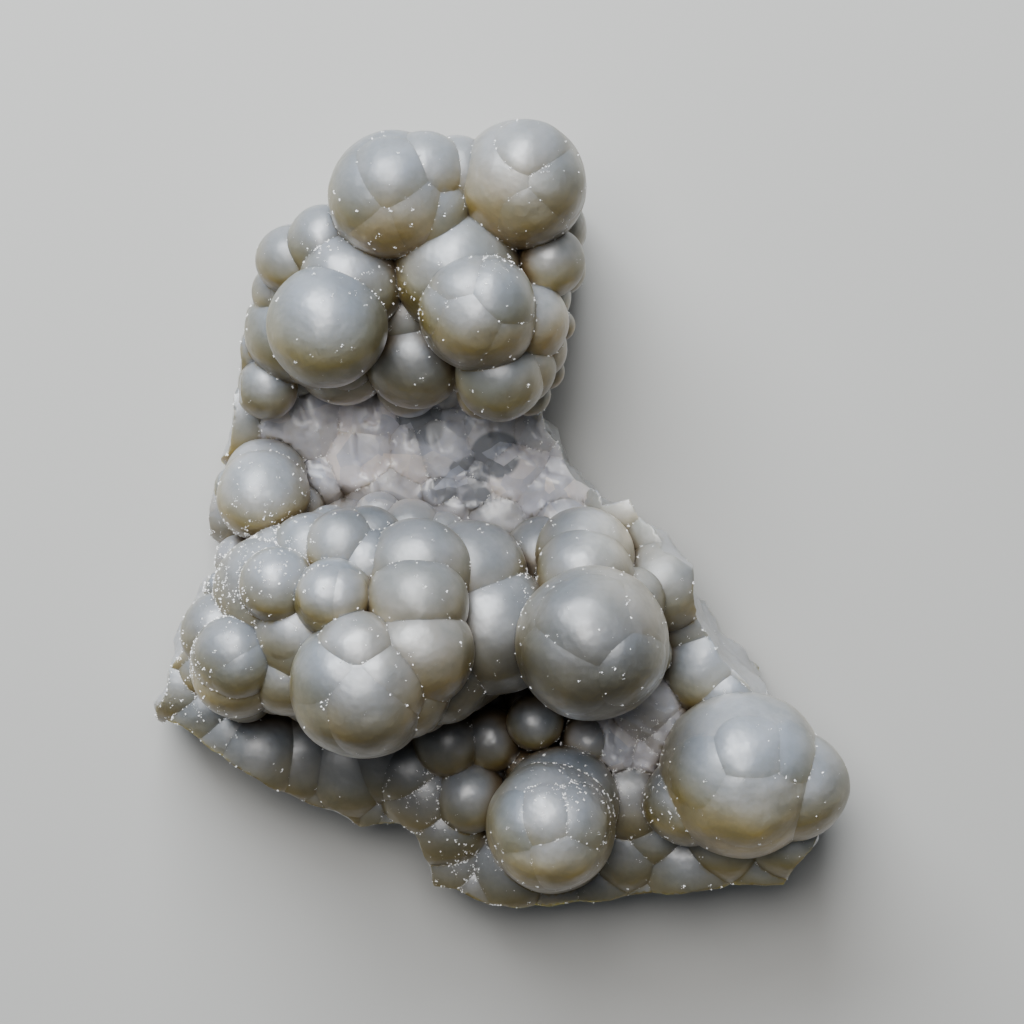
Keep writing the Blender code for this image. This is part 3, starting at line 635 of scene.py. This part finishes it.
def markCreases(mesh, every, broken):
    lobe, gaps = lobeGaps(faceMiddles(mesh), every)
    lobe[np.abs(gaps) > skin["brokenFace"]] = -1
    body = bmesh.new()
    body.from_mesh(mesh)
    for f in body.faces:
        f.smooth = True
    creases = []  # sharp seams where two lobes meet
    for e in body.edges:
        if len(e.link_faces) == 2:
            a, b = (lobe[f.index] for f in e.link_faces)
            angle = e.calc_face_angle(0.0)
            if a != b and angle > skin["creaseAngle"]:
                e.smooth = False
                creases.append((e.verts[0].co.lerp(e.verts[1].co, 0.5), angle))
            elif a == -1 and angle > skin["brokenAngle"]:
                e.smooth = False
    near = KDTree(len(creases))
    for i, (spot, _) in enumerate(creases):
        near.insert(spot, i)
    near.balance()
    values = []
    for v in body.verts:
        _, i, far = near.find(v.co)
        values.append(min(1.0, creases[i][1] / skin["fullCrease"]) * math.exp(-far / skin["creaseWidth"]))
    body.to_mesh(mesh)
    body.free()
    addAttribute(mesh, "crease", np.array(values) * (1 - broken))


def settleSkin(mesh, pale):
    for v, low in zip(mesh.vertices, pale):
        spot = v.co
        push = noise.noise_vector(spot / skin["swellSize"]) * skin["swell"]
        if low > skin["facetFrom"]:
            push.z += facetLift(spot) * low
        push += noise.noise_vector(spot / skin["rippleSize"]) * skin["ripple"]
        if spot.z < skin["chipHeight"]:
            push += noise.noise_vector(spot / skin["chipSize"]) * skin["chip"]
            push *= min(1.0, spot.z)  # the flat back stays flat
        v.co = spot + push


# Shapes and marks the skin in mm, then sets the stone in metres at the frame's origin
def finishStone(stone, every):
    mesh = stone.data
    broken, pale = markPatches(mesh, every)
    markCreases(mesh, every, broken)
    settleSkin(mesh, pale)
    print("stone: skin settled")
    openShare = openness(mesh)
    addAttribute(mesh, "open", openShare)
    normals = vertexNormals(mesh)
    # painted shade: the colour darkens and browns where the skin slopes down and faces away from the light
    least, slope, away = skin["flankShade"]
    addAttribute(mesh, "flankShade", np.clip(least + slope * (1 - normals[:, 2]) - away * normals[:, 1], 0, 1))
    print("stone: openness read", np.quantile(openShare, (0.05, 0.25, 0.5, 0.75)).round(2))

    spots = vertexArray(mesh) * mm
    middle = (spots.min(0) + spots.max(0)) / 2
    shift = np.array([middle[0], middle[1], 0.0], np.float32)
    mesh.vertices.foreach_set("co", (spots - shift).ravel())
    mesh.update()
    return shift


def nodeTree(name):
    material = bpy.data.materials.new(name)
    material.use_nodes = True
    tree = material.node_tree
    return material, tree, tree.nodes["Principled BSDF"]


def setInputs(node, values):
    for entry, value in values.items():
        node.inputs[entry].default_value = value


def addNode(tree, kind, **settings):
    made = tree.nodes.new(kind)
    for key, value in settings.items():
        setattr(made, key, value)
    return made


# What is given is a value, a colour or (node, output)
def feed(tree, given, target, entry):
    if isinstance(given, tuple) and hasattr(given[0], "outputs"):
        tree.links.new(given[0].outputs[given[1]], target.inputs[entry])
    elif isinstance(given, tuple):
        target.inputs[entry].default_value = (*given, 1.0)
    else:
        target.inputs[entry].default_value = given


def attribute(tree, name, output="Fac"):
    return addNode(tree, "ShaderNodeAttribute", attribute_name=name), output


def pattern(tree, kind, values):
    made = addNode(tree, kind)
    feed(tree, (addNode(tree, "ShaderNodeTexCoord"), "Object"), made, "Vector")
    setInputs(made, values)
    return made


def ramp(tree, source, stops, mode="EASE"):
    made = addNode(tree, "ShaderNodeValToRGB")
    elements = made.color_ramp.elements
    made.color_ramp.interpolation = mode
    while len(elements) < len(stops):
        elements.new(1.0)
    for element, (place, colour) in zip(elements, stops):
        element.position = place
        element.color = (*colour, 1.0)
    feed(tree, source, made, "Fac")
    return made, "Color"


def grey(value):
    return (value, value, value)


def rising(low, high):
    return [(low, grey(0.0)), (high, grey(1.0))]


def falling(low, high):
    return [(low, grey(1.0)), (high, grey(0.0))]


def mixed(tree, factor, a, b, mode="MIX"):
    made = addNode(tree, "ShaderNodeMix", data_type="RGBA", blend_type=mode)
    for entry, given in ((0, factor), (6, a), (7, b)):  # its sockets for colours
        feed(tree, given, made, entry)
    return made, 2


# The colour, multiplied where the factor is high
def shaded(tree, factor, colour, by):
    return mixed(tree, factor, colour, mixed(tree, 1.0, colour, by, "MULTIPLY"))


def product(tree, a, b):
    made = addNode(tree, "ShaderNodeMath", operation="MULTIPLY")
    feed(tree, a, made, 0)
    feed(tree, b, made, 1)
    return made, "Value"


def bump(tree, height, values, below=None):
    made = addNode(tree, "ShaderNodeBump")
    setInputs(made, values)
    feed(tree, height, made, "Height")
    if below:
        feed(tree, below, made, "Normal")
    return made, "Normal"


chalcedonyLook = {
    "flankShade": [  # painted light and shade: from skin that faces the light, a lighter blue-grey, to skin that faces away, a dark honey brown that stands for shade and for light glowing through the stone
        (0.0, (0.148, 0.164, 0.190)), (0.13, (0.152, 0.156, 0.156)), (0.27, (0.156, 0.148, 0.112)),
        (0.48, (0.144, 0.110, 0.024)), (0.80, (0.116, 0.072, 0.007)),
    ],
    "cloud": {"Scale": 165.0, "Detail": 5.0, "Roughness": 0.62},
    "cloudEdges": (0.36, 0.66),
    "cloudDark": (0.68, 0.71, 0.72),
    "tints": ((0.84, 0.87, 0.90), (1.12, 1.06, 1.0)),  # each lobe has its own between these two
    "tintShare": 0.8,
    "beige": (1.10, 1.0, 0.84),
    "low": (0.66, 0.652, 0.672),  # the low lobes are paler: partly their own colour, partly painted light that lifts the shade the crown casts on them
    "lowTints": ((0.76, 0.79, 0.84), (1.10, 1.05, 1.02)),
    "lowCloud": (0.80, 0.82, 0.86),
    "facets": {"Scale": 270.0},
    "facetTones": [(0.2, (0.74, 0.77, 0.84)), (0.8, (1.08, 1.04, 1.01))],
    "facetBump": {"Strength": 0.7, "Distance": 0.0007},
    "clearDark": (0.19, 0.20, 0.228),  # clear, darker facets among them
    "clearEdges": (0.20, 0.36),
    "hollowShade": (0.092, 0.060, 0.018),  # painted shade, warm brown as if lit through the stone, in the hollows and deep between the lobes, where less of the sky is seen
    "hollowShadeEdges": (0.14, 0.60),
    # painted shade: near black deep between the lobes
    "deep": (0.035, 0.020, 0.007),
    "deepShadeEdges": (0.08, 0.42),
    # painted shade along the creases
    "creaseShade": (0.92, 0.90, 0.86),
    "brokenPale": (0.27, 0.275, 0.285),
    "roughness": (0.32, 0.58),
    "mottle": {"Scale": 340.0, "Detail": 2.0},
    "mottleBump": {"Strength": 0.8, "Distance": 0.0005},
    "wax": {"Scale": 700.0, "Detail": 5.0, "Roughness": 0.7},
    "waxBump": {"Strength": 0.35, "Distance": 0.00012},
    "body": {
        "IOR": 1.54,
        "Coat Weight": 1.0,
        "Coat Roughness": 0.42,
        "Coat IOR": 1.62,
        "Subsurface Weight": 0.8,
        "Subsurface Radius": (1.0, 0.90, 0.66),
        "Subsurface Scale": 0.0050,
    },
}


def ballColour(tree, look, clouds):
    # painted light and shade: blue-grey where the skin faces the light, dark brown where it faces away
    flankShade = ramp(tree, attribute(tree, "flankShade"), look["flankShade"], "LINEAR")
    colour = shaded(tree, clouds, flankShade, look["cloudDark"])
    tint = mixed(tree, attribute(tree, "tint"), *look["tints"])
    colour = mixed(tree, look["tintShare"], colour, tint, "MULTIPLY")
    # partly painted shade: darker patches in the valleys between the balls
    colour = mixed(tree, 1.0, colour, attribute(tree, "milkAndShade", "Color"), "MULTIPLY")
    return shaded(tree, attribute(tree, "beige"), colour, look["beige"])


def lowLobeColour(tree, look, clouds, facets):
    tint = mixed(tree, attribute(tree, "tint"), *look["lowTints"])
    colour = mixed(tree, 1.0, look["low"], tint, "MULTIPLY")
    tone = ramp(tree, (facets, "Color"), look["facetTones"])
    colour = mixed(tree, 1.0, colour, tone, "MULTIPLY")
    return shaded(tree, clouds, colour, look["lowCloud"])


def chalcedonyMaterial():
    look = chalcedonyLook
    material, tree, shader = nodeTree("waxy chalcedony")
    cloud = pattern(tree, "ShaderNodeTexNoise", look["cloud"])
    clouds = ramp(tree, (cloud, "Fac"), rising(*look["cloudEdges"]))
    facets = pattern(tree, "ShaderNodeTexVoronoi", look["facets"])
    low, sky = attribute(tree, "pale"), attribute(tree, "open")

    # the low lobes are paler, partly painted light against the crown's shade
    colour = mixed(tree, low, ballColour(tree, look, clouds), lowLobeColour(tree, look, clouds, facets))
    clear = product(tree, attribute(tree, "clear"), (facets, "Color"))
    colour = mixed(tree, ramp(tree, clear, rising(*look["clearEdges"])), colour, look["clearDark"])
    # painted shade: brown where the skin sees little of the sky, and near black where it sees least
    colour = mixed(tree, ramp(tree, sky, falling(*look["hollowShadeEdges"])), colour, look["hollowShade"])
    colour = mixed(tree, ramp(tree, sky, falling(*look["deepShadeEdges"])), colour, look["deep"])
    # painted shade: a little darker along the creases between lobes
    colour = shaded(tree, attribute(tree, "crease"), colour, look["creaseShade"])
    colour = mixed(tree, attribute(tree, "broken"), colour, look["brokenPale"])
    feed(tree, colour, shader, "Base Color")

    satin, waxy = look["roughness"]
    feed(tree, ramp(tree, clouds, [(0.0, grey(satin)), (1.0, grey(waxy))]), shader, "Roughness")
    mottle = pattern(tree, "ShaderNodeTexNoise", look["mottle"])
    wax = pattern(tree, "ShaderNodeTexNoise", look["wax"])
    relief = bump(tree, product(tree, low, (facets, "Distance")), look["facetBump"])
    relief = bump(tree, (mottle, "Fac"), look["mottleBump"], relief)
    relief = bump(tree, (wax, "Fac"), look["waxBump"], relief)
    feed(tree, relief, shader, "Normal")
    setInputs(shader, look["body"])
    return material


druse = {
    "clumps": 6200,
    "clump": 7,  # points in the largest clumps, which are few
    "clumpPower": 3,
    "spread": 0.22,
    "smallest": 0.035,
    "largest": 0.17,
    "sizePower": 4.0,
    "lean": 0.8,
    "lift": 0.01,
    "point": {"segments": 4, "radius1": 1.0, "radius2": 0.3, "depth": 1.8},  # in shares of its size
    "lowest": 6.0,
    "steepest": -0.2,
    "bare": 0.05,  # share of the specks that lie away from creases
    "creases": (0.10, 1.5),  # along every crease, and more where the specks are thick
    "patchShare": 0.4,
    "patchHeight": 16.0,
    "patches": [  # across, along, reach and how thick the specks lie there
        (-36.0, -9.0, 6.0, 3.0), (-31.0, -4.5, 5.0, 3.0), (-26.0, -2.0, 4.0, 2.5), (-40.5, -16.0, 4.0, 1.6),
        (-39.5, -24.0, 6.0, 1.4), (6.0, -32.0, 5.0, 2.0), (14.0, -35.0, 6.0, 1.8), (-5.5, -43.5, 5.0, 1.6),
        (-10.5, -37.0, 4.0, 1.4), (-24.0, 35.5, 3.0, 2.5), (-13.5, 30.5, 4.0, 1.6), (-1.5, 33.0, 3.0, 1.6),
        (-24.0, 9.0, 5.0, 0.9), (-15.0, 5.0, 7.0, 0.5), (5.0, 9.0, 4.0, 0.8), (-31.0, 2.0, 7.0, 0.8),
        (1.0, -7.5, 3.0, 2.5), (17.0, -27.0, 4.0, 2.0), (-11.0, -34.0, 3.0, 2.0),
    ],
    "seed": 5,
    "frost": {"Scale": 900.0},
    "tones": [(0.3, (0.74, 0.75, 0.76)), (0.7, (0.95, 0.95, 0.95))],
    "body": {"Roughness": 0.12, "IOR": 1.54},
}


def druseMaterial():
    material, tree, shader = nodeTree("quartz druse")
    frost = pattern(tree, "ShaderNodeTexNoise", druse["frost"])
    feed(tree, ramp(tree, (frost, "Fac"), druse["tones"]), shader, "Base Color")
    setInputs(shader, druse["body"])
    return material


# How likely a clump of specks is at each spot of the stone
def druseWeight(mesh, shift):
    spots = vertexArray(mesh)
    seen = (spots + shift)[:, :2] / mm
    thick = np.full(len(spots), druse["bare"])
    for across, along, reach, share in druse["patches"]:
        middle, _ = placed(across, along, druse["patchHeight"])
        away = np.linalg.norm(seen - np.array(middle.xy), axis=1)
        thick += share * druse["patchShare"] * np.exp(-((away / reach) ** 2) * 2)
    crease = np.empty(len(spots), np.float32)
    mesh.attributes["crease"].data.foreach_get("value", crease)
    every, more = druse["creases"]
    weight = thick + every * crease + more * thick * crease
    return weight * (spots[:, 2] > druse["lowest"] * mm) * (vertexNormals(mesh)[:, 2] > druse["steepest"])


def drusePiece(stone, shift):
    spots, normals = vertexArray(stone.data), vertexNormals(stone.data)
    total = np.cumsum(druseWeight(stone.data, shift))
    point = bmesh.new()
    bmesh.ops.create_cone(point, cap_ends=True, **druse["point"])
    shape = np.array([v.co[:] for v in point.verts])
    sides = [[v.index for v in f.verts] for f in point.faces]
    point.free()
    chance = random.Random(druse["seed"])
    lean, sizes = druse["lean"], druse["largest"] - druse["smallest"]
    corners = []
    faces = []
    for _ in range(druse["clumps"]):
        i = int(np.searchsorted(total, chance.random() * total[-1]))
        home = spots[i] + normals[i] * druse["lift"] * mm
        for _ in range(1 + int(druse["clump"] * chance.random() ** druse["clumpPower"])):
            size = druse["smallest"] + sizes * chance.random() ** druse["sizePower"]
            up = Vector(normals[i]) + Vector([chance.uniform(-lean, lean) for _ in range(3)])
            turn = np.array(up.to_track_quat("Z", "Y").to_matrix())
            aside = np.array([chance.uniform(-1.0, 1.0) for _ in range(3)]) * druse["spread"]
            aside -= normals[i] * float(normals[i] @ aside)
            first = len(corners) * len(shape)
            corners.append(shape @ turn.T * size * mm + home + aside * mm)
            faces += [[v + first for v in side] for side in sides]
    mesh = bpy.data.meshes.new("druse")
    mesh.from_pydata(np.concatenate(corners).tolist(), [], faces)
    piece = bpy.data.objects.new("druse", mesh)
    bpy.context.collection.objects.link(piece)
    piece.data.materials.append(druseMaterial())
    return piece


studio = {
    "floor": (0.40, 0.40, 0.39, 1.0),
    "floorReach": 1.2,
    "floorRoughness": 0.9,
    "lights": [  # name, place, size, power and colour
        ("window light", (-0.14, 0.44, 0.31), (0.40, 0.28), 7.5, (0.93, 0.97, 1.0)),
        ("top light", (-0.10, 0.36, 0.72), (0.40, 0.40), 7.0, (1.0, 0.98, 0.95)),
    ],
    "aim": (0.0, 0.0, 0.02),
    "sky": {"Color": (0.9, 0.95, 1.0, 1.0), "Strength": 0.12},
}


def layFloor():
    body = bmesh.new()
    bmesh.ops.create_grid(body, x_segments=1, y_segments=1, size=studio["floorReach"])
    floor = meshObject("pale floor", body)
    material, _, shader = nodeTree("floor paper")
    setInputs(shader, {"Base Color": studio["floor"], "Roughness": studio["floorRoughness"]})
    floor.data.materials.append(material)


def hangLights():
    for name, place, size, power, colour in studio["lights"]:
        light = bpy.data.lights.new(name, "AREA")
        light.shape = "RECTANGLE"
        light.size, light.size_y = size
        light.energy = power
        light.color = colour
        thing = bpy.data.objects.new(name, light)
        thing.location = place
        thing.rotation_euler = (Vector(studio["aim"]) - Vector(place)).to_track_quat("-Z", "Y").to_euler()
        bpy.context.scene.collection.objects.link(thing)
    world = bpy.data.worlds.new("studio")
    world.use_nodes = True
    setInputs(world.node_tree.nodes["Background"], studio["sky"])
    bpy.context.scene.world = world


def placeCamera(shift):
    lens = bpy.data.cameras.new("camera")
    lens.lens, lens.sensor_width = photo["lens"], photo["sensor"]
    lens.clip_start, lens.clip_end = photo["clip"]
    camera = bpy.data.objects.new("camera", lens)
    back = Vector((0.0, math.sin(photo["tilt"]), math.cos(photo["tilt"])))
    aim = Vector((0.0, 0.0, photo["focusHeight"])) * mm - Vector(shift.tolist())
    camera.location = aim + back * photo["distance"] * mm
    camera.rotation_euler = (-photo["tilt"], 0.0, 0.0)
    bpy.context.scene.collection.objects.link(camera)
    bpy.context.scene.camera = camera


stone, everyLobe = stoneMesh()
shift = finishStone(stone, everyLobe)
stone.data.materials.clear()
stone.data.materials.append(chalcedonyMaterial())
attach(stone, "root")
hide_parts("chalcedony")
print("stone finished", len(stone.data.polygons), "faces")

grains = drusePiece(stone, shift)
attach(grains, "root")
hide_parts("chalcedony")
print("druse finished", len(grains.data.polygons), "faces")

layFloor()
hangLights()
placeCamera(shift)
print("studio set")
